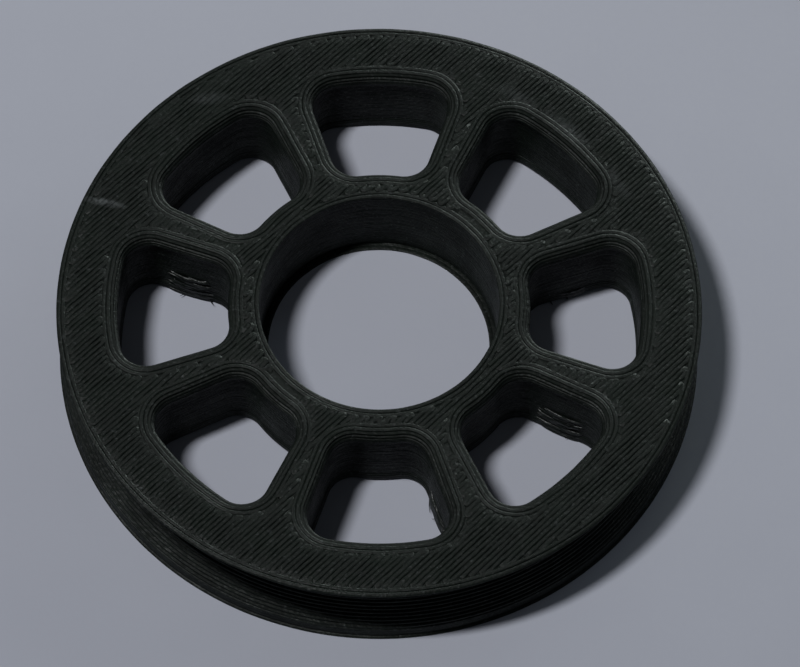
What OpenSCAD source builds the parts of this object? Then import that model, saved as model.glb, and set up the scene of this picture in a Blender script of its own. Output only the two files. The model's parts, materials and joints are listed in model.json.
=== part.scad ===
// V-groove pulley wheel, printed in plastic, with eight windows and a bearing seat.
// +Z is up along the axis of rotation. The origin is on that axis, in the lower face.
// The print is divided at its natural borders into solids that meet face to face.

/* [Wheel] */
// Diameter over the sharp upper flange
wheel_d = 60; // [58:0.5:62]
// Thickness from face to face
thickness = 9; // [8.5:0.25:10]
// Height of one printed layer
layer = 0.25; // [0.2:0.05:0.3]
// How far the squashed first layer stands out past the lower flange
first_layer_spread = 0.2; // [0.1:0.05:0.3]

/* [Bore] */
// Diameter of the bearing seat
bore_d = 22.3; // [22:0.1:22.6]
// Diameter inside the thin lip at the bottom of the seat
lip_d = 20.9; // [20.5:0.1:21.4]
// Outer radius of the hub ring, where the spokes begin
hub_r = 12.7; // [12.4:0.1:13]

/* [Windows] */
// Radius of each window's inner edge
window_in_r = 14.1; // [14:0.1:14.6]
// Radius of each window's outer edge
window_out_r = 24.3; // [23.5:0.1:24.3]
// Radius of the corners seen from above
corner_r = 2.4; // [1.8:0.1:2.6]
// Width of a spoke at the windows' inner edge
spoke_hub_w = 3.3; // [2.8:0.1:4]
// Width of a spoke at the windows' outer edge
spoke_rim_w = 4.6; // [4:0.1:5]
// Radius of the rounding round the windows' upper edges
top_round = 1.25; // [1:0.25:1.25]
// Radius of the rounding round the windows' lower edges
bottom_round = 0.5; // [0.25:0.25:0.75]

/* [Groove] */
// Height of the straight band round the lower flange
lower_band = 1.5; // [1.25:0.25:1.75]
// Slope of each groove wall from the horizontal, in degrees
flank_angle = 45; // [42:1:47]
// Radius where the spokes end and the rim ring begins
spoke_end_r = 25.2; // [25.1:0.1:25.5]

/* [Hidden] */
SPOKES = 8;
$fn = 180;

plastic = "#242424";
wheel_r = wheel_d / 2;
bore_r = bore_d / 2;
lip_r = lip_d / 2;
pitch = 360 / SPOKES;
beyond = 1;

// The straight band on the upper flange is one layer high, so its edge is nearly sharp.
upper_band = layer;
groove_z = (thickness - upper_band + lower_band) / 2;
flank_h = (thickness - upper_band - lower_band) / 2;
root_r = wheel_r - flank_h / tan(flank_angle);

// A window's straight side, seen with the window's middle along +X: its angle,
// and its distance from the axis along the side's own outward normal.
spoke_taper = atan((spoke_rim_w - spoke_hub_w) / 2 / (window_out_r - window_in_r));
side_angle = pitch / 2 - spoke_taper;
side_off = -(spoke_hub_w / 2 - window_in_r * tan(spoke_taper)) * cos(spoke_taper);
side_normal = [-sin(side_angle), cos(side_angle)];
side_dir = [cos(side_angle), sin(side_angle)];
mid_r = (window_in_r + window_out_r) / 2;

// Centre of a window's corner arc, at this distance from the axis
function corner_centre(r) =
    let (off = side_off - corner_r)
    side_normal * off + side_dir * sqrt(r * r - off * off);

// How far a quarter-round edge has opened out at this depth below the face
function opening(radius, depth) =
    radius - sqrt(radius * radius - (radius - depth) * (radius - depth));

function mirrored(p) = [p[0], -p[1]];

module ring(outer, inner, height) {
    difference() {
        cylinder(r = outer, h = height);
        translate([0, 0, -beyond]) cylinder(r = inner, h = height + 2 * beyond);
    }
}

// A flat piece of ring between two radii and within an angle each side of +X
module flat_sector(outer, inner, half_angle) {
    reach = outer + beyond;
    intersection() {
        difference() {
            circle(r = outer);
            circle(r = inner);
        }
        polygon([
            [0, 0],
            [reach, -reach * tan(half_angle)],
            [reach, reach * tan(half_angle)]
        ]);
    }
}

// A window's outline, opened out by e all round
module window_outline(e) {
    near = corner_centre(window_in_r + corner_r);
    far = corner_centre(window_out_r - corner_r);
    out = side_normal * (corner_r + e);
    flat_sector(window_out_r + e, mid_r, atan(far[1] / far[0]));
    flat_sector(mid_r, window_in_r - e, atan(near[1] / near[0]));
    polygon([
        mirrored(near), mirrored(near + out), mirrored(far + out), mirrored(far),
        far, far + out, near + out, near
    ]);
    for (c = [near, far, mirrored(near), mirrored(far)])
        translate(c) circle(r = corner_r + e);
}

// The space of one window, with its edges opened out in steps one layer high
module window_space() {
    translate([0, 0, -beyond])
        linear_extrude(thickness + 2 * beyond) window_outline(0);
    for (d = [0 : layer : top_round - layer / 2])
        translate([0, 0, thickness - d - layer])
            linear_extrude(d + layer + beyond)
                window_outline(opening(top_round, d + layer / 2));
    for (d = [0 : layer : bottom_round - layer / 2])
        translate([0, 0, -beyond])
            linear_extrude(d + layer + beyond)
                window_outline(opening(bottom_round, d + layer / 2));
}

// The bearing seat's wall stands on the bore lip, which is the hub's first layer.
module hub_ring() {
    color(plastic)
        translate([0, 0, layer]) ring(hub_r, bore_r, thickness - layer);
}

module bore_lip() {
    color(plastic) ring(hub_r, lip_r, layer);
}

// One spoke with its feet, from the middle of one window to the middle of the next
module spoke(i) {
    color(plastic)
        rotate([0, 0, (i - 0.5) * pitch])
            difference() {
                linear_extrude(thickness)
                    flat_sector(spoke_end_r, hub_r, pitch / 2);
                for (side = [-1, 1])
                    rotate([0, 0, side * pitch / 2]) window_space();
            }
}

module rim_ring() {
    color(plastic) ring(root_r, spoke_end_r, thickness);
}

module upper_flange() {
    color(plastic)
        rotate_extrude()
            polygon([
                [root_r, groove_z],
                [wheel_r, thickness - upper_band],
                [wheel_r, thickness],
                [root_r, thickness]
            ]);
}

module lower_flange() {
    color(plastic)
        rotate_extrude()
            polygon([
                [root_r, 0],
                [wheel_r + first_layer_spread, 0],
                [wheel_r + first_layer_spread, layer],
                [wheel_r, layer],
                [wheel_r, lower_band],
                [root_r, groove_z]
            ]);
}

hub_ring();
bore_lip();
for (i = [1:SPOKES])
    spoke(i);
rim_ring();
upper_flange();
lower_flange();
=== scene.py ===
import json
import math
import bmesh
import bpy
import numpy as np
from mathutils import Matrix, Vector


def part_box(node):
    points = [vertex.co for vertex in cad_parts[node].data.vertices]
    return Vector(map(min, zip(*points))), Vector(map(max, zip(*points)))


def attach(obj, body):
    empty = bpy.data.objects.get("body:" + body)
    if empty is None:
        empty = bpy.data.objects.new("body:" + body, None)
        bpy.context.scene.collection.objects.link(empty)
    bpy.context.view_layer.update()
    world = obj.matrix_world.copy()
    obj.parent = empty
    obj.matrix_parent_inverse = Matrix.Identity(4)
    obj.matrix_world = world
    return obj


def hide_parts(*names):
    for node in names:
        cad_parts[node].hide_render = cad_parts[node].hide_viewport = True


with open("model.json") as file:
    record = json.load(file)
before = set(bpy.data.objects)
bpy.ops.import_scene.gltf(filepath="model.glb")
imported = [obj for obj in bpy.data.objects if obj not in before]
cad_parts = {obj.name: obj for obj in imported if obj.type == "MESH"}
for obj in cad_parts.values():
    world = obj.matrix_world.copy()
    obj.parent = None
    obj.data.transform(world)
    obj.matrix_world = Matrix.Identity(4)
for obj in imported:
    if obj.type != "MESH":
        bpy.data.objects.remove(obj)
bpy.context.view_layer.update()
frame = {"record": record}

# Lengths are in millimetres, with +Z along the wheel's axis. They become metres as each mesh, material, lamp
# or camera is made.
MM = 0.001
rng = np.random.default_rng(11)


def box_mm(node):
    """The lowest and highest corner of a CAD node's box."""
    lo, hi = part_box(node)
    return np.array(lo) / MM, np.array(hi) / MM


# Sizes that the frame knows
WHEEL_R = box_mm("upper_flange")[1][0]
FIRST_LAYER_R = box_mm("lower_flange")[1][0]
THICKNESS = box_mm("upper_flange")[1][2]
GROOVE_Z = box_mm("upper_flange")[0][2]
HUB_R = box_mm("hub_ring")[1][0]
ROOT_R = box_mm("rim_ring")[1][0]
LAYER = box_mm("bore_lip")[1][2]
BORE_R = next(m["dims"]["r_mm"] for m in frame["record"]["mounts"] if m["name"] == "bearing_seat")

# Sizes that repeat the CAD source
SPOKES = 8
PITCH = 2 * math.pi / SPOKES
LIP_R = 10.45
SPOKE_END_R = 25.2
WINDOW_IN = 14.1
WINDOW_OUT = 24.3
CORNER = 2.4
SPOKE_HUB_W = 3.3
SPOKE_RIM_W = 4.6
TOP_ROUND = 1.25
BOTTOM_ROUND = 0.5
LOWER_BAND = 1.5

# The print: how many layers, how wide a line is, how far a wall draws back between two layers, and how far a
# layer strays
LAYERS = round(THICKNESS / LAYER)
LINE = 0.43
RECESS = 0.065
DRIFT = 0.012

# The rows of points in each layer of a wall: how far up the layer, and how far drawn back
WALL_ROWS = ((0.03, RECESS), (0.30, 0.012), (0.70, 0.012), (0.97, RECESS))

# A window's wall is drawn back by WAIST between the solid layers, which it meets over WAIST_RAMP
WAIST = 0.16
WAIST_LO = 0.9
WAIST_HI = THICKNESS - TOP_ROUND
WAIST_RAMP = 0.5

# The walls run between these heights, and separate lines lie below and above them
BODY_LO = 0.125
BODY_HI = THICKNESS - 0.15

# Round walls stay this far inside their true radius, so that nothing strays past the CAD part
KEEP_IN = 0.03


# ---------------------------------------------------------------- outlines

# A window's straight side: its taper, its angle, its distance from the wheel's centre and its directions
taper = math.atan((SPOKE_RIM_W - SPOKE_HUB_W) / 2 / (WINDOW_OUT - WINDOW_IN))
side_angle = PITCH / 2 - taper
side_off = -(SPOKE_HUB_W / 2 - WINDOW_IN * math.tan(taper)) * math.cos(taper)
side_normal = np.array([-math.sin(side_angle), math.cos(side_angle)])
side_dir = np.array([math.cos(side_angle), math.sin(side_angle)])


def corner_centre(r):
    """The centre of a window's rounded corner that lies r from the wheel's axis."""
    off = side_off - CORNER
    return side_normal * off + side_dir * math.sqrt(r * r - off * off)


def opening(radius, depth):
    """How far a quarter-round edge has opened out at this depth below the face."""
    if depth >= radius:
        return 0.0
    return radius - math.sqrt(radius * radius - (radius - depth) ** 2)


def waist(z):
    """How far a window's wall draws back between the solid layers at its foot and at its top."""
    hollow = min(max((z - WAIST_LO) / WAIST_RAMP, 0), 1)
    hollow *= min(max((WAIST_HI - z) / WAIST_RAMP, 0), 1)
    return WAIST * hollow


def window_opening(layer):
    """How far a layer's rounded window edge has opened out, at either face."""
    height = (layer + 0.5) * LAYER
    return max(opening(BOTTOM_ROUND, height), opening(TOP_ROUND, THICKNESS - height))


def arc(centre, radius, a0, a1, n):
    """n points along an arc from angle a0 to angle a1."""
    a = np.linspace(a0, a1, n)
    return np.stack([centre[0] + radius * np.cos(a), centre[1] + radius * np.sin(a)], 1)


def half_window():
    """Half a window's outline, from mid inner edge to mid outer edge, and its outward normals."""
    near = corner_centre(WINDOW_IN + CORNER)
    far = corner_centre(WINDOW_OUT - CORNER)
    near_a = math.atan2(near[1], near[0])
    far_a = math.atan2(far[1], far[0])
    side_a = math.pi / 2 + side_angle
    inner = arc((0, 0), WINDOW_IN, 0, near_a, 6)[:-1]
    near_arc = arc(near, CORNER, near_a + math.pi, side_a, 11)
    far_arc = arc(far, CORNER, side_a, far_a, 13)
    side = near_arc[-1] + np.linspace(0, 1, 9)[1:-1, None] * (far_arc[0] - near_arc[-1])
    outer = arc((0, 0), WINDOW_OUT, far_a, 0, 8)[1:]
    normals = [
        -inner / WINDOW_IN,
        (near_arc - near) / CORNER,
        np.tile(side_normal, (len(side), 1)),
        (far_arc - far) / CORNER,
        outer / WINDOW_OUT,
    ]
    return np.concatenate([inner, near_arc, side, far_arc, outer]), np.concatenate(normals)


HALF, HALF_N = half_window()


def turned(points, angle):
    """Points of the plan turned counterclockwise about the wheel's axis."""
    c, s = math.cos(angle), math.sin(angle)
    return points @ np.array([[c, s], [-s, c]])


def window_loop(index, e):
    """A window's whole outline opened out by e, counterclockwise."""
    half = HALF + HALF_N * e
    other_half = (half * [1, -1])[1:-1]
    return turned(np.concatenate([half[::-1], other_half]), index * PITCH)


def window_distance(p):
    """Distance from the nearest window's outline, negative inside it. p is (n, 2)."""
    r = np.hypot(p[:, 0], p[:, 1])
    a = np.arctan2(p[:, 1], p[:, 0])
    a = np.abs((a + PITCH / 2) % PITCH - PITCH / 2)
    x, y = r * np.cos(a), r * np.sin(a)
    across = np.maximum(WINDOW_IN - r, r - WINDOW_OUT) + CORNER
    aside = x * side_normal[0] + y * side_normal[1] - side_off + CORNER
    out = np.hypot(np.maximum(across, 0), np.maximum(aside, 0))
    return out + np.minimum(np.maximum(across, aside), 0) - CORNER


# ---------------------------------------------------------------- materials

# The plastic ranges from dark to light and is paler where it is worn and where a painted highlight lies. A
# relief is the height of the bumps.
PLASTIC_DARK = (0.0026, 0.0046, 0.0032, 1)
PLASTIC_LIGHT = (0.0100, 0.0142, 0.0110, 1)
PLASTIC_WORN_AND_HIGHLIGHT = (0.095, 0.105, 0.105, 1)
PLASTIC_RELIEF = 0.14
# The paper's near colour is darker and its far colour lighter by painted shade
PAPER_NEAR_PAINTED_SHADE = (0.520, 0.540, 0.615, 1)
PAPER_FAR_PAINTED_LIGHT = (0.620, 0.640, 0.720, 1)
PAPER_RELIEF = 0.01

# Painted shade on the paper, for light that dims towards the near side: its colour changes from near to far
# over this reach each way, along a line turned this many degrees
PAPER_PAINTED_SHADE_REACH = 1.3 * WHEEL_R
PAPER_PAINTED_SHADE_TURN = 25

# Pale marks on the upper face, real scuffs and a band of painted highlight: the middle, the length and
# width, the direction in degrees and the strength. They fade out this deep below the face.
SCUFF_AND_HIGHLIGHT_DEPTH = 0.5
SCUFFS_AND_HIGHLIGHTS = (
    ((-25.9, 10.45), 4.8, 1.0, -13, 1.0),
    ((-16.3, 21.95), 4.6, 1.7, 7, 0.4),
    ((9.3, 24.8), 0.6, 0.4, 40, 0.9),
    ((28.9, 0.5), 0.9, 0.5, 80, 0.6),
    # These three are painted highlight, a pale band round the outer edge of the window at 45 degrees in
    # place of the glints of the filling's turns
    ((13.1, 22.4), 5.5, 1.7, -30, 0.28),
    ((18.3, 18.4), 6.0, 1.8, -45, 0.42),
    ((22.5, 13.0), 5.5, 1.6, -60, 0.28),
)


def add_node(tree, kind, inputs, **settings):
    """A node with its settings, and its inputs by name: each a value, or a socket to link from."""
    made = tree.nodes.new(kind)
    for name, value in settings.items():
        setattr(made, name, value)
    for name, value in inputs.items():
        if isinstance(value, bpy.types.NodeSocket):
            tree.links.new(value, made.inputs[name])
        else:
            made.inputs[name].default_value = value
    return made


def new_material(name):
    """A material, its node tree, its shader and the object's own coordinates."""
    mat = bpy.data.materials.new(name)
    mat.use_nodes = True
    tree = mat.node_tree
    where = add_node(tree, "ShaderNodeTexCoord", {}).outputs["Object"]
    return mat, tree, tree.nodes["Principled BSDF"], where


def noise(tree, where, per_mm, detail, stretch=(1, 1, 1)):
    """Noise from 0 to 1 with per_mm waves to the millimetre."""
    scale = [per_mm / MM * s for s in stretch]
    at = add_node(tree, "ShaderNodeMapping", {"Vector": where, "Scale": scale}).outputs["Vector"]
    made = add_node(tree, "ShaderNodeTexNoise", {"Vector": at, "Scale": 1.0, "Detail": detail})
    return made.outputs["Fac"]


def spread(tree, value, low, high, to_low=0.0, to_high=1.0):
    """The value's range from low to high stretched over a new range."""
    limits = {"Value": value, "From Min": low, "From Max": high, "To Min": to_low, "To Max": to_high}
    return add_node(tree, "ShaderNodeMapRange", limits).outputs["Result"]


def combined(tree, operation, a, b):
    """Two values, each a number or a socket, put through one step of arithmetic."""
    made = add_node(tree, "ShaderNodeMath", {}, operation=operation)
    for socket, value in zip(made.inputs, (a, b)):
        if isinstance(value, bpy.types.NodeSocket):
            tree.links.new(value, socket)
        else:
            socket.default_value = value
    return made.outputs["Value"]


def weighted(tree, a, share, b):
    """A share of a and the rest of b."""
    rest = combined(tree, "MULTIPLY", b, 1 - share)
    return combined(tree, "ADD", combined(tree, "MULTIPLY", a, share), rest)


def blended(tree, amount, first, second):
    """One colour going over to another as amount goes from 0 to 1."""
    inputs = {"Fac": amount, "Color1": first, "Color2": second}
    return add_node(tree, "ShaderNodeMixRGB", inputs).outputs["Color"]


def mark(tree, where, middle, length, width, heading, strength):
    """How strongly a long faint mark covers this place, from 0 to 1."""
    place = {
        "Vector": where,
        "Location": (middle[0] * MM, middle[1] * MM, THICKNESS * MM),
        "Rotation": (0, 0, math.radians(heading)),
        "Scale": (length / 2 * MM, width / 2 * MM, SCUFF_AND_HIGHLIGHT_DEPTH * MM),
    }
    local = add_node(tree, "ShaderNodeMapping", place, vector_type="TEXTURE").outputs["Vector"]
    away = add_node(tree, "ShaderNodeVectorMath", {0: local}, operation="LENGTH").outputs["Value"]
    return spread(tree, away, 1.0, 0.3, 0.0, strength)


def add_bump(tree, shader, relief, height):
    """Bumps up to a height in millimetres."""
    bump = add_node(tree, "ShaderNodeBump", {"Height": relief, "Strength": 1.0, "Distance": height * MM})
    tree.links.new(bump.outputs["Normal"], shader.inputs["Normal"])


def printed_plastic(name, specular, rough, smooth):
    """Black print: patchy tone, streaks along the layers, worn flecks, scuffs, a band of painted highlight
    and a fine grain.
    """
    mat, tree, shader, where = new_material(name)
    patchy = noise(tree, where, per_mm=0.35, detail=4)
    grain = noise(tree, where, per_mm=2.6, detail=3)
    streaks = noise(tree, where, per_mm=1.0, detail=2, stretch=(0.12, 0.12, 4.0))
    flecks = noise(tree, where, per_mm=3.2, detail=1)
    tone = weighted(tree, weighted(tree, patchy, 0.5, grain), 0.7, streaks)
    colour = blended(tree, spread(tree, tone, 0.41, 0.59), PLASTIC_DARK, PLASTIC_LIGHT)
    # Real scuffs and the painted highlight band both turn the plastic pale
    scuffs_and_highlights = mark(tree, where, *SCUFFS_AND_HIGHLIGHTS[0])
    for each_mark in SCUFFS_AND_HIGHLIGHTS[1:]:
        scuffs_and_highlights = combined(tree, "MAXIMUM", scuffs_and_highlights, mark(tree, where, *each_mark))
    scuffs_and_highlights = combined(tree, "MULTIPLY", scuffs_and_highlights, spread(tree, grain, 0.35, 0.6, 0.15, 1.0))
    fleck = spread(tree, flecks, 0.64, 0.78, 0.0, 0.4)
    colour = blended(tree, combined(tree, "MAXIMUM", scuffs_and_highlights, fleck), colour, PLASTIC_WORN_AND_HIGHLIGHT)
    tree.links.new(colour, shader.inputs["Base Color"])
    shader.inputs["Specular IOR Level"].default_value = specular
    tree.links.new(spread(tree, tone, 0.40, 0.60, rough, smooth), shader.inputs["Roughness"])
    add_bump(tree, shader, weighted(tree, grain, 0.6, streaks), PLASTIC_RELIEF)
    return mat


def paper():
    """Pale bluish paper with painted shade that makes it a little darker towards the near side, and a faint
    grain.
    """
    mat, tree, shader, where = new_material("paper")
    rotation = (0, 0, math.radians(PAPER_PAINTED_SHADE_TURN))
    shaded = add_node(tree, "ShaderNodeMapping", {"Vector": where, "Rotation": rotation}).outputs["Vector"]
    depth = add_node(tree, "ShaderNodeSeparateXYZ", {"Vector": shaded}).outputs["Y"]
    distance = spread(tree, depth, -PAPER_PAINTED_SHADE_REACH * MM, PAPER_PAINTED_SHADE_REACH * MM)
    mottle = spread(tree, noise(tree, where, per_mm=0.12, detail=4), 0.3, 0.7, -0.05, 0.05)
    colour = blended(tree, combined(tree, "ADD", distance, mottle), PAPER_NEAR_PAINTED_SHADE, PAPER_FAR_PAINTED_LIGHT)
    tree.links.new(colour, shader.inputs["Base Color"])
    grain = noise(tree, where, per_mm=1.5, detail=3)
    tree.links.new(spread(tree, grain, 0.3, 0.7, 0.85, 0.95), shader.inputs["Roughness"])
    add_bump(tree, shader, grain, PAPER_RELIEF)
    return mat


printed_black = printed_plastic("printed_black", specular=0.2, rough=0.60, smooth=0.40)
drawn_black = printed_plastic("drawn_black", specular=0.50, rough=0.45, smooth=0.30)


# ---------------------------------------------------------------- walls of stacked layers

# Edges sharper than this stay sharp, in degrees
SMOOTH_WALLS = 48
SMOOTH_LINES = 60

# How each layer strays: the phases of its waves and its own shift, in parts of DRIFT
phases = rng.uniform(0, 2 * math.pi, (LAYERS, 4))
layer_shift = rng.normal(0, 0.45, LAYERS).clip(-1, 1)

# The crossing waves that neighbouring lines share: two slopes in radians to the millimetre, and a phase
patch_waves = rng.normal(0, 1, (9, 3)) * [1.3, 1.3, 3.0]


def drift(layer, x, y):
    """How far a layer wanders off its true line here, always under 2.6 times DRIFT."""
    p = phases[layer]
    wave = np.sin(0.42 * x + p[0]) * 0.5 + np.sin(0.47 * y + p[1]) * 0.5
    ripple = np.sin(1.9 * x + 1.3 * y + p[2]) * 0.35 + np.sin(2.3 * y - 1.6 * x + p[3]) * 0.25
    return DRIFT * (layer_shift[layer] + wave + ripple)


def make_piece(name, verts, faces, node=None, smooth_deg=SMOOTH_WALLS, material=printed_black):
    """A piece from points in millimetres, which takes the place of a CAD node where one is named."""
    me = bpy.data.meshes.new(name)
    me.from_pydata((np.asarray(verts) * MM).tolist(), [], faces)
    bm = bmesh.new()
    bm.from_mesh(me)
    bmesh.ops.recalc_face_normals(bm, faces=bm.faces)
    bm.to_mesh(me)
    bm.free()
    me.polygons.foreach_set("use_smooth", [True] * len(me.polygons))
    me.set_sharp_from_angle(angle=math.radians(smooth_deg))
    me.materials.append(material)
    piece = bpy.data.objects.new(name, me)
    bpy.context.scene.collection.objects.link(piece)
    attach(piece, "root")
    if node:
        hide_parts(node)


def grid_faces(first, rows, n):
    """Faces between closed rows of n points each, from the point numbered first."""
    faces = []
    for i in range(rows - 1):
        a = first + i * n
        for j in range(n):
            k = (j + 1) % n
            faces.append((a + j, a + k, a + n + k, a + n + j))
    return faces


def bridge_faces(small, n_small, big, n_big):
    """Faces between two level loops, the second with a whole number of times as many points."""
    m = n_big // n_small
    faces = []
    for i in range(n_small):
        edge = [big + (i * m + j) % n_big for j in range(m, -1, -1)]
        faces.append([small + i, small + (i + 1) % n_small] + edge)
    return faces


def wall_rows(first, last, radius_of):
    """(layer, height, radius, recess) for every row of a wall from layer first up to layer last."""
    return [
        (k, (k + up) * LAYER, radius_of(k), recess)
        for k in range(first, last)
        for up, recess in WALL_ROWS
        if BODY_LO <= (k + up) * LAYER <= BODY_HI
    ]


def round_wall(rows, n, side):
    """Points of a round wall of layers: side is 1 where the plastic lies inside it and -1 where outside."""
    a = np.arange(n) * 2 * math.pi / n
    out = []
    for layer, z, radius, recess in rows:
        x, y = radius * np.cos(a), radius * np.sin(a)
        r = radius + side * (drift(layer, x, y) - recess - KEEP_IN)
        out.append(np.stack([r * np.cos(a), r * np.sin(a), np.full(n, z)], 1))
    return np.concatenate(out)


def plain_wall(radius, z0, z1, n):
    """Points of a plain round wall between two heights."""
    a = np.arange(n) * 2 * math.pi / n
    rows = [np.stack([radius * np.cos(a), radius * np.sin(a), np.full(n, z)], 1) for z in (z0, z1)]
    return np.concatenate(rows)


def ring_piece(name, node, border_r, border_n, wall, wall_n, side):
    """A ring with a hidden border on one side and a wall of layers on the other."""
    z0, z1 = wall[0][1], wall[-1][1]
    border = plain_wall(border_r, z0, z1, border_n)
    shown = round_wall(wall, wall_n, side)
    first = len(border)
    last = first + (len(wall) - 1) * wall_n
    faces = grid_faces(0, 2, border_n) + grid_faces(first, len(wall), wall_n)
    faces += bridge_faces(0, border_n, first, wall_n)
    faces += bridge_faces(border_n, border_n, last, wall_n)
    make_piece(name, np.concatenate([border, shown]), faces, node)


# How many points go round the hidden borders, the bore's wall and the rim's walls
HUB_BORDER_N = 80
RIM_BORDER_N = 96
WALL_N = 320
RIM_N = 384

LIP_LINE_DEPTH = 0.09  # the part of the lip that its own printed lines make
EDGE_DROP = 0.1        # how far the rim's wall draws back under the outermost line of the top
GROOVE_RECESS = 0.08   # how far the two flanges draw back where they meet in the groove
BORDER_OVERLAP = 0.1   # how far the flanges reach into the rim ring


def rim_radius(layer):
    """Radius of the rim's outside at a layer: band, groove wall, root, groove wall and sharp edge."""
    if layer == 0:
        return FIRST_LAYER_R
    z = (layer + 0.5) * LAYER
    if z < LOWER_BAND:
        return WHEEL_R
    return min(WHEEL_R, ROOT_R + abs(z - GROOVE_Z))


def build_hub():
    """The hub ring with the bore's wall, and the bore lip at its foot."""
    seat = [(1, LAYER, BORE_R, RECESS)] + wall_rows(1, LAYERS, lambda k: BORE_R)
    ring_piece("hub_ring_print", "hub_ring", HUB_R, HUB_BORDER_N, seat, WALL_N, -1)
    lip = [(0, BODY_LO, LIP_R, 0), (0, LAYER - LIP_LINE_DEPTH, LIP_R, RECESS)]
    ring_piece("bore_lip_print", "bore_lip", HUB_R, HUB_BORDER_N, lip, WALL_N, -1)


def build_rim():
    """The two flanges with the groove between them, and the rim ring inside them."""
    root_layer = int(GROOVE_Z / LAYER)
    border_r = ROOT_R - BORDER_OVERLAP
    lower = wall_rows(0, root_layer, rim_radius)
    lower.append((root_layer, root_layer * LAYER, ROOT_R + LAYER, GROOVE_RECESS))
    ring_piece("lower_flange_print", "lower_flange", border_r, RIM_BORDER_N, lower, RIM_N, 1)
    upper = wall_rows(root_layer + 1, LAYERS, rim_radius)
    upper.insert(0, (root_layer + 1, (root_layer + 1) * LAYER, ROOT_R + LAYER, GROOVE_RECESS))
    upper[-1] = (*upper[-1][:3], EDGE_DROP)
    ring_piece("upper_flange_print", "upper_flange", border_r, RIM_BORDER_N, upper, RIM_N, 1)
    middle = [(root_layer, z, ROOT_R, 0) for z in (BODY_LO, BODY_HI)]
    ring_piece("rim_ring_print", "rim_ring", SPOKE_END_R, RIM_BORDER_N, middle, RIM_N, 1)


def spoke_loop(layer, z, e, recess, turn):
    """The outline at one row of the spoke that points along the angle turn, with its flared feet."""
    half = PITCH / 2
    sides = []
    for sign in (-1, 1):
        p = turned(HALF * [1, -sign], sign * half)
        n = turned(HALF_N * [1, -sign], sign * half)
        place = turned(p, turn)
        back = e + waist(z) + recess - drift(layer, place[:, 0], place[:, 1])
        sides.append(p + n * back[:, None])
    outer = arc((0, 0), SPOKE_END_R, -half, half, RIM_BORDER_N // SPOKES + 1)
    inner = arc((0, 0), HUB_R, half, -half, HUB_BORDER_N // SPOKES + 1)
    loop = np.concatenate([sides[0], outer, sides[1][::-1], inner])
    loop = turned(loop, turn)
    return np.column_stack([loop, np.full(len(loop), z)])


def build_spoke(i):
    """Spoke i: closed loops stacked row on row, closed below and above."""
    rows = wall_rows(0, LAYERS, window_opening)
    turn = (i - 0.5) * PITCH
    loops = [spoke_loop(*row, turn) for row in rows]
    n = len(loops[0])
    faces = grid_faces(0, len(loops), n)
    faces.append(list(range(n))[::-1])
    faces.append([(len(loops) - 1) * n + j for j in range(n)])
    make_piece(f"spoke_{i}_print", np.concatenate(loops), faces, f"spoke_{i}")


# ---------------------------------------------------------------- printed lines

# Points along the printed walls are this far apart
WINDOW_STEP = 0.42
CIRCLE_STEP = 0.5

# Each profile lists (across, up): across in half widths, up from the line's root (0) to its crest (1)
LANE_PROFILE = (
    (-1, 0), (-0.95, 0.55), (-0.6, 0.86), (-0.2, 0.97), (0.2, 0.97), (0.6, 0.86), (0.95, 0.55), (1, 0),
)
TOP_PROFILE = ((-1.0, 0.0), (-0.95, 0.70), (-0.50, 0.97), (0.50, 0.97), (0.95, 0.70), (1.0, 0.0))
EDGE_PROFILE = (
    (-1, 0), (-0.97, 0.44), (-0.6, 0.68), (-0.2, 0.85), (0.2, 0.95), (0.6, 0.93), (0.95, 0.6), (1, 0),
)
FIRST_PROFILE = ((-1.0, 0.0), (-0.97, 0.75), (-0.78, 1.0), (0.78, 1.0), (0.97, 0.75), (1.0, 0.0))


def line_mesh(path, half_width, root, crest, profile, closed):
    """A printed line along a path of (n, 2) points. half_width and crest may differ from point to point."""
    path = np.asarray(path, float)
    n = len(path)
    if closed:
        tangent = np.roll(path, -1, 0) - np.roll(path, 1, 0)
    else:
        tangent = np.gradient(path, axis=0)
    tangent /= np.maximum(np.hypot(*tangent.T), 1e-9)[:, None]
    normal = np.stack([-tangent[:, 1], tangent[:, 0]], 1)
    half_width = np.broadcast_to(half_width, n)
    crest = np.broadcast_to(crest, n)
    rows = []
    for across, up in profile:
        at = path + normal * (half_width * across)[:, None]
        rows.append(np.column_stack([at, root + (crest - root) * up]))
    verts = np.stack(rows, 1).reshape(-1, 3)
    m = len(profile)
    faces = []
    for i in range(n if closed else n - 1):
        a, b = i * m, ((i + 1) % n) * m
        for j in range(m):
            k = (j + 1) % m
            faces.append((a + j, a + k, b + k, b + j))
    if not closed:
        faces.append(list(range(m)))
        faces.append([(n - 1) * m + j for j in range(m)][::-1])
    return verts, faces


def join_lines(name, lines, material=printed_black):
    """One piece from many lines, each given as (points, faces)."""
    verts, faces, at = [], [], 0
    for v, f in lines:
        verts.append(v)
        faces += [[at + i for i in face] for face in f]
        at += len(v)
    make_piece(name, np.concatenate(verts), faces, smooth_deg=SMOOTH_LINES, material=material)


def resampled(path, step, closed):
    """The path with points about one step apart."""
    p = np.asarray(path, float)
    if closed:
        p = np.vstack([p, p[:1]])
    d = np.concatenate([[0], np.cumsum(np.hypot(*np.diff(p, axis=0).T))])
    n = max(2, int(round(d[-1] / step)) + 1)
    s = np.linspace(0, d[-1], n)
    out = np.stack([np.interp(s, d, p[:, 0]), np.interp(s, d, p[:, 1])], 1)
    return out[:-1] if closed else out


def circle_loop(radius):
    """A closed circle with points about CIRCLE_STEP apart."""
    n = int(round(2 * math.pi * radius / CIRCLE_STEP))
    return arc((0, 0), radius, 0, 2 * math.pi, n + 1)[:-1]


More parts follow.
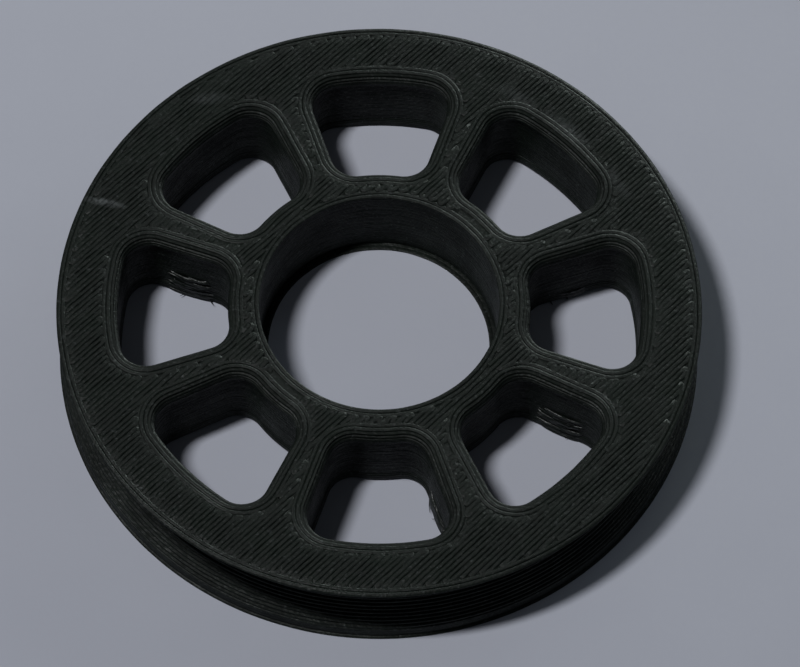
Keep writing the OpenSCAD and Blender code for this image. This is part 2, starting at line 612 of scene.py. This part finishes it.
def uneven(n, size, length=5):
    """Gentle random unevenness along a line of n points."""
    a = rng.normal(0, 1, n + 2 * length)
    a = np.convolve(a, np.hanning(length + 2)[1:-1], "same")[length:-length]
    return size * a / max(a.std(), 1e-6)


# The filling, in spacings between its lines: where the first line lies, how short a line may be, how far
# apart two ends may be and still be joined by a turn, and how far a turn bulges
FIRST_OFFSET = 0.37
SHORTEST = 1.4
WIDEST_TURN = 3.2
TURN_BULGE = 0.42

# A turn's points, as parts of the way from one line to the next, and how far a line's ends count as turning
TURN_POINTS = (0.15, 0.5, 0.85)
END_TURNING = 0.6

# Where a line of the filling stops short of the edge, also in spacings, from and to
END_GAP = (0.35, 0.65)

# The filling, in millimetres: how finely its ends are found, the distance between its points and how far
# they stray
END_STEP = 0.06
FILL_STEP = 0.5
FILL_WANDER = 0.012


def zigzag_paths(angle, inside, spacing):
    """Parallel lines that fill a region and turn at its edges, as a list of (points, turning) paths."""
    t = np.arange(-WHEEL_R, WHEEL_R, END_STEP)
    offsets = np.arange(-WHEEL_R, WHEEL_R, spacing) + spacing * FIRST_OFFSET
    along = np.array([math.cos(angle), math.sin(angle)])
    aside = np.array([-along[1], along[0]])
    spans = []
    for s in offsets:
        ok = inside(t[:, None] * along + s * aside).astype(int)
        edge = np.diff(np.concatenate([[0], ok, [0]]))
        starts, ends = np.nonzero(edge == 1)[0], np.nonzero(edge == -1)[0] - 1
        gap = rng.uniform(*END_GAP, (len(starts), 2)) * spacing
        spans.append([
            (t[a] + g[0], t[b] - g[1])
            for a, b, g in zip(starts, ends, gap)
            if t[b] - t[a] > SHORTEST * spacing
        ])
    used, paths = set(), []
    for j in range(len(offsets)):
        for i in range(len(spans[j])):
            if (j, i) not in used:
                paths.append(one_zigzag(j, i, spans, offsets, used, along, aside, spacing))
    return paths


def one_zigzag(j, i, spans, offsets, used, along, aside, spacing):
    """The path from span i of line j onward, and how far each of its points belongs to a turn (0 to 1)."""
    points, turning, end = [], [], 1
    while True:
        used.add((j, i))
        a, b = spans[j][i][1 - end], spans[j][i][end]
        steps = max(2, int(abs(b - a) / FILL_STEP) + 1)
        wander = rng.normal(0, FILL_WANDER, steps)
        for t, w in zip(np.linspace(a, b, steps), wander):
            points.append(t * along + (offsets[j] + w) * aside)
            turning.append(0.0)
        turning[-1] = turning[-steps] = END_TURNING
        outward = 1 if end else -1
        best = None
        if j + 1 < len(spans):
            free = [m for m in range(len(spans[j + 1])) if (j + 1, m) not in used]
            gaps = [(abs(spans[j + 1][m][end] - b), m) for m in free]
            best = min(gaps, default=None)
        if best is None or best[0] > WIDEST_TURN * spacing:
            break
        b2 = spans[j + 1][best[1]][end]
        for f in TURN_POINTS:
            bulge = math.sin(f * math.pi) * spacing * TURN_BULGE * outward
            points.append((b + (b2 - b) * f + bulge) * along + (offsets[j] + spacing * f) * aside)
            turning.append(1.0)
        j, i, end = j + 1, best[1], 1 - end
    return np.array(points), np.array(turning)


# The printed walls are this many lines wide, and the filling reaches a little way under them
WALL_LINES = 2
FILL_OVERLAP = 0.02

# The top's lines: the heights of their roots and crests, and how far the filling sags beside the walls
TOP_ROOT = BODY_HI - 0.08
TOP_LIMIT = THICKNESS - 0.002
SAG = 0.07
SAG_WIDTH = 1.1
FILL_CREST = THICKNESS - 0.025
WALL_CREST = THICKNESS - 0.05 - SAG / 3

# How uneven the walls' lines are, each on its own and together with its neighbours
WALL_CREST_UNEVEN = 0.008
WALL_CREST_PATCHES = 0.006
WALL_WIDTH_UNEVEN = 0.006

# The same for the filling, which is wider than its spacing and swells where it turns
FILL_CREST_UNEVEN = 0.012
FILL_CREST_PATCHES = 0.01
FILL_WIDTH_UNEVEN = 0.018
FILL_WIDTH_PATCHES = 0.008
FILL_SWELL = 0.016
TURN_SWELL = 0.04
TURN_UNEVEN = 0.01

# Directions of the filling, in degrees
TOP_ANGLE = 45
FIRST_ANGLE = 135

# How far the windows have opened out at the top's lines, which overhang the wall below them a little, and at
# the first layer
TOP_OVERHANG = 0.06
TOP_OPENING = window_opening(LAYERS - 1) - TOP_OVERHANG
FIRST_OPENING = window_opening(0)

# The first layer: the height of its lines' roots, inside the body, and how uneven and how swollen they are
FIRST_ROOT = BODY_LO + 0.02
FIRST_UNEVEN = 0.003
FIRST_SWELL = 0.002

# The bore lip's lines: the height of the inner one, how much lower the outer one lies, and their unevenness
LIP_CREST = LAYER - 0.02
LIP_CREST_FALL = 0.05
LIP_CREST_UNEVEN = 0.012
LIP_WIDTH_UNEVEN = 0.008


def wall_loops(outer_r, inner_r, e):
    """Centre lines of the printed walls round windows, bore and outside, with the outermost one last."""
    loops = []
    for lane in range(WALL_LINES):
        off = (lane + 0.5) * LINE
        loops += [resampled(window_loop(k, e + off), WINDOW_STEP, True) for k in range(SPOKES)]
        loops.append(circle_loop(inner_r + off))
    return loops + [circle_loop(outer_r - (lane + 0.5) * LINE) for lane in reversed(range(WALL_LINES))]


def fill_region(outer_r, inner_r, e):
    """A test for points of the plan: whether they lie where the filling goes."""
    lanes = WALL_LINES * LINE - FILL_OVERLAP

    def inside(p):
        r = np.hypot(p[:, 0], p[:, 1])
        return (r < outer_r - lanes) & (r > inner_r + lanes) & (window_distance(p) > e + lanes)

    return inside


def patches(points, size):
    """Gentle unevenness that neighbouring lines share, from a few crossing waves."""
    x, y = points[:, 0], points[:, 1]
    waves = sum(np.sin(a * x + b * y + c) for a, b, c in patch_waves)
    return size * waves / math.sqrt(len(patch_waves) / 2)


def sag(points):
    """How far the filling falls away towards the printed walls round it."""
    to_edge = np.minimum(window_distance(points) - TOP_OPENING, WHEEL_R - np.hypot(*points.T))
    beyond = to_edge - WALL_LINES * LINE
    return SAG * np.clip(1 - beyond / SAG_WIDTH, 0, 1) ** 2


def build_top_walls():
    """The printed walls that show on the top, the outermost of them drooping over the rim's edge."""
    loops = wall_loops(WHEEL_R - KEEP_IN, BORE_R, TOP_OPENING)
    lines = []
    for loop in loops:
        n = len(loop)
        crest = WALL_CREST + uneven(n, WALL_CREST_UNEVEN) + patches(loop, WALL_CREST_PATCHES)
        half_width = LINE / 2 + uneven(n, WALL_WIDTH_UNEVEN)
        if loop is loops[-1]:
            lines.append(line_mesh(loop, half_width, TOP_ROOT - EDGE_DROP / 2, crest, EDGE_PROFILE, True))
        else:
            lines.append(line_mesh(loop, half_width, TOP_ROOT, crest, LANE_PROFILE, True))
    join_lines("top_wall_lines", lines)


def build_top_fill():
    """The filling of the top, wider and less even where its lines turn."""
    region = fill_region(WHEEL_R, BORE_R, TOP_OPENING)
    lines = []
    for path, turning in zigzag_paths(math.radians(TOP_ANGLE), region, LINE):
        n = len(path)
        crest = FILL_CREST - sag(path) + uneven(n, TURN_UNEVEN) * turning
        crest += uneven(n, FILL_CREST_UNEVEN, 3) + patches(path, FILL_CREST_PATCHES)
        crest = np.minimum(crest, TOP_LIMIT)
        half_width = LINE / 2 + FILL_SWELL + TURN_SWELL * turning
        half_width += uneven(n, FILL_WIDTH_UNEVEN, 3) + patches(path, FILL_WIDTH_PATCHES)
        lines.append(line_mesh(path, half_width, TOP_ROOT, crest, TOP_PROFILE, False))
    join_lines("top_fill_lines", lines)


def build_lip_lines():
    """The two rings of line that make the bore's lip, the outer one half under the wall."""
    rings = []
    for lane in range(WALL_LINES):
        loop = circle_loop(LIP_R + KEEP_IN + (lane + 0.5) * LINE)
        n = len(loop)
        crest = LIP_CREST - LIP_CREST_FALL * lane + uneven(n, LIP_CREST_UNEVEN, 9)
        half_width = LINE / 2 + uneven(n, LIP_WIDTH_UNEVEN)
        rings.append(line_mesh(loop, half_width, BODY_LO, crest, TOP_PROFILE, True))
    join_lines("bore_lip_lines", rings)


def build_first_lines():
    """The first layer's squashed lines, which lie flat on the paper."""
    lines = []
    for loop in wall_loops(FIRST_LAYER_R - KEEP_IN, LIP_R + KEEP_IN, FIRST_OPENING):
        half_width = LINE / 2 + uneven(len(loop), FIRST_UNEVEN)
        lines.append(line_mesh(loop, half_width, FIRST_ROOT, 0.0, FIRST_PROFILE, True))
    region = fill_region(FIRST_LAYER_R, LIP_R, FIRST_OPENING)
    for path, _ in zigzag_paths(math.radians(FIRST_ANGLE), region, LINE):
        lines.append(line_mesh(path, LINE / 2 + FIRST_SWELL, FIRST_ROOT, 0.0, FIRST_PROFILE, False))
    join_lines("first_layer_lines", lines)


# ---------------------------------------------------------------- loose bits

# Strands and burrs on the windows' side walls: the window (0 is the one along +X, the rest follow
# counterclockwise), the side, how far along the wall (0 is the hub's end, 1 the rim's), the height, the
# length and the rise
STRANDS = (
    (0, 1, 0.15, 0.30, 0.50, 0.10),
    (0, 1, 0.45, 0.35, 0.45, 0.20),
    (2, -1, 1.00, 0.30, 0.45, 0.10),
    (4, -1, 0.10, 0.35, 0.50, 0.15),
    (4, -1, 0.55, 0.30, 0.60, 0.10),
    (6, 1, 0.12, 0.30, 0.45, 0.10),
    (6, 1, 0.50, 0.35, 0.50, 0.15),
    (7, 1, 0.70, 0.30, 0.40, 0.10),
)

# A strand's radius at its root, how deep in the wall it starts, and how far it strays along the wall
STRAND_R = 0.06
STRAND_ROOT = 0.06
STRAND_CURL = 0.08

# The number of sides of a strand or a loop
TUBE_SIDES = 6

# Sagging loops on the windows' side walls: the window, the side, the part of the wall they cover (from, to),
# how high they reach, and how many there are
DROOPS = (
    (4, -1, 0.00, 0.92, 3.3, 22),
    (7, 1, 0.05, 1.00, 3.5, 22),
    (6, 1, 0.00, 0.95, 1.8, 11),
    (0, 1, 0.30, 0.90, 0.9, 4),
)

# The loops' sizes, each from and to: their radius, how far clear of the wall they hang, how far they sag,
# and how much of their part of the wall they span
LOOP_R = (0.13, 0.19)
LOOP_CLEAR = (0.00, 0.07)
LOOP_SAG = (-0.05, 0.25)
LOOP_SPAN = (0.45, 0.90)

# The lowest loops hang this much further out, start at this height and stay this far above the paper
LOWER_CLEAR = 0.05
LOWEST_LOOP = 0.28
KEEP_OFF_PAPER = 0.02


def tube(path, radius):
    """A round strand along a path of (n, 3) points, as (verts, faces)."""
    n = len(path)
    tangent = np.gradient(path[:, :2], axis=0)
    tangent /= np.hypot(*tangent.T)[:, None]
    radius = np.broadcast_to(radius, n)
    rows = []
    for a in np.arange(TUBE_SIDES) * 2 * math.pi / TUBE_SIDES:
        aside = radius * math.cos(a)
        up = radius * math.sin(a)
        rows.append(path + np.column_stack([-tangent[:, 1] * aside, tangent[:, 0] * aside, up]))
    faces = grid_faces(0, n, TUBE_SIDES)
    faces.append(list(range(TUBE_SIDES)))
    faces.append([(n - 1) * TUBE_SIDES + j for j in range(TUBE_SIDES)])
    return np.stack(rows, 1).reshape(-1, 3), faces


def on_wall(window, side, u, out):
    """Points of the plan beside a window's side wall: u along it from the hub's end, out clear of it."""
    near = corner_centre(WINDOW_IN + CORNER) + side_normal * CORNER
    far = corner_centre(WINDOW_OUT - CORNER) + side_normal * CORNER
    plan = near + u[:, None] * (far - near) - out[:, None] * side_normal
    return turned(plan * [1, side], window * PITCH)


def strand(window, side, u, height, length, rise):
    """A thin curled strand that starts inside the wall and tapers to its end."""
    t = np.linspace(0, 1, 9)
    along = u + rng.normal(0, STRAND_CURL) * t
    plan = on_wall(window, side, along, length * np.sin(1.3 * t) - STRAND_ROOT)
    return tube(np.column_stack([plan, height + rise * t * t]), STRAND_R * (1.2 - t))


def droop(window, side, u0, u1, height, count):
    """Loops of line that came away from a window's wall between u0 and u1 and sag, up to a height."""
    loops = []
    for k in range(count):
        level = (k + rng.uniform(0, 0.8)) / count
        span = rng.uniform(*LOOP_SPAN) * (u1 - u0)
        start = rng.uniform(u0, u1 - span)
        radius = rng.uniform(*LOOP_R)
        clear = rng.uniform(*LOOP_CLEAR) + LOWER_CLEAR * (1 - level)
        t = np.linspace(0, 1, 21)
        arch = np.sin(math.pi * t) ** 0.5
        z = LOWEST_LOOP + height * level - rng.uniform(*LOOP_SAG) * arch ** 2
        z = np.maximum(z, radius + KEEP_OFF_PAPER)
        wall = np.array([waist(h) for h in z])
        out = (clear - radius / 2) * arch - (wall + radius) * (1 - arch)
        plan = on_wall(window, side, start + span * t, out)
        loops.append(tube(np.column_stack([plan, z]), radius * (0.3 + 0.7 * arch)))
    return loops


def build_loose_bits():
    """All the strands as one piece, and all the sagging loops as another."""
    join_lines("loose_strands", [strand(*s) for s in STRANDS], drawn_black)
    join_lines("sagging_loops", [loop for d in DROOPS for loop in droop(*d)], drawn_black)


# ---------------------------------------------------------------- the wheel

build_hub()
build_rim()
for i in range(1, SPOKES + 1):
    build_spoke(i)
build_top_walls()
build_top_fill()
build_first_lines()
build_lip_lines()
build_loose_bits()


# ---------------------------------------------------------------- stage

# The camera: where it stands, the point of the paper it looks at, its roll in degrees and its lens
CAMERA_PLACE = (-0.923, -181.834, 344.890)
CAMERA_AIM = (1.999, 1.440, 0)
CAMERA_ROLL = 1.178
CAMERA_LENS = 185.2
SENSOR_WIDTH = 36

# The paper reaches this far each way
PAPER_HALF = 2000

WORLD_COLOUR = (0.74, 0.80, 0.87, 1)
WORLD_STRENGTH = 0.055


def add_camera():
    """The camera, looking down on the wheel from in front of it."""
    data = bpy.data.cameras.new("camera")
    data.lens = CAMERA_LENS
    data.sensor_width = SENSOR_WIDTH
    data.clip_start = 0.01
    data.clip_end = 10.0
    camera = bpy.data.objects.new("camera", data)
    bpy.context.scene.collection.objects.link(camera)
    place, aim = Vector(CAMERA_PLACE) * MM, Vector(CAMERA_AIM) * MM
    level = (aim - place).to_track_quat("-Z", "Y").to_matrix().to_4x4()
    roll = Matrix.Rotation(math.radians(CAMERA_ROLL), 4, "Z")
    camera.matrix_world = Matrix.Translation(place) @ level @ roll
    bpy.context.scene.camera = camera


def add_floor():
    """A wide sheet of paper under the wheel."""
    me = bpy.data.meshes.new("paper_floor")
    s = PAPER_HALF * MM
    me.from_pydata([(-s, -s, 0), (s, -s, 0), (s, s, 0), (-s, s, 0)], [], [(0, 1, 2, 3)])
    me.materials.append(paper())
    floor = bpy.data.objects.new("paper_floor", me)
    bpy.context.scene.collection.objects.link(floor)


def add_light(name, place, size, power, colour):
    """A soft lamp of a width and a height, turned to the wheel."""
    data = bpy.data.lights.new(name, "AREA")
    data.shape = "ELLIPSE"
    data.size, data.size_y = size[0] * MM, size[1] * MM
    data.energy = power
    data.color = colour
    lamp = bpy.data.objects.new(name, data)
    bpy.context.scene.collection.objects.link(lamp)
    lamp.location = Vector(place) * MM
    lamp.rotation_mode = "QUATERNION"
    lamp.rotation_quaternion = (-lamp.location).to_track_quat("-Z", "Y")
    lamp.visible_camera = False
    return lamp


def add_world():
    """A dim even light from all round."""
    world = bpy.data.worlds.new("world")
    world.use_nodes = True
    background = world.node_tree.nodes["Background"]
    background.inputs["Color"].default_value = WORLD_COLOUR
    background.inputs["Strength"].default_value = WORLD_STRENGTH
    bpy.context.scene.world = world


add_camera()
add_floor()
add_world()
add_light("key", (-273, -42, 745), (70, 150), 3.0, (0.97, 0.98, 1.0))
add_light("back_fill", (620, 560, 420), (500, 350), 0.38, (0.75, 0.9, 1.0))
sheen = add_light("sheen", (155, 385, 130), (250, 120), 1.5, (0.88, 1.0, 0.95))
sheen.visible_diffuse = False  # it only shows as a gleam on the plastic

bpy.context.scene.view_settings.view_transform = "Standard"
bpy.context.scene.view_settings.look = "None"
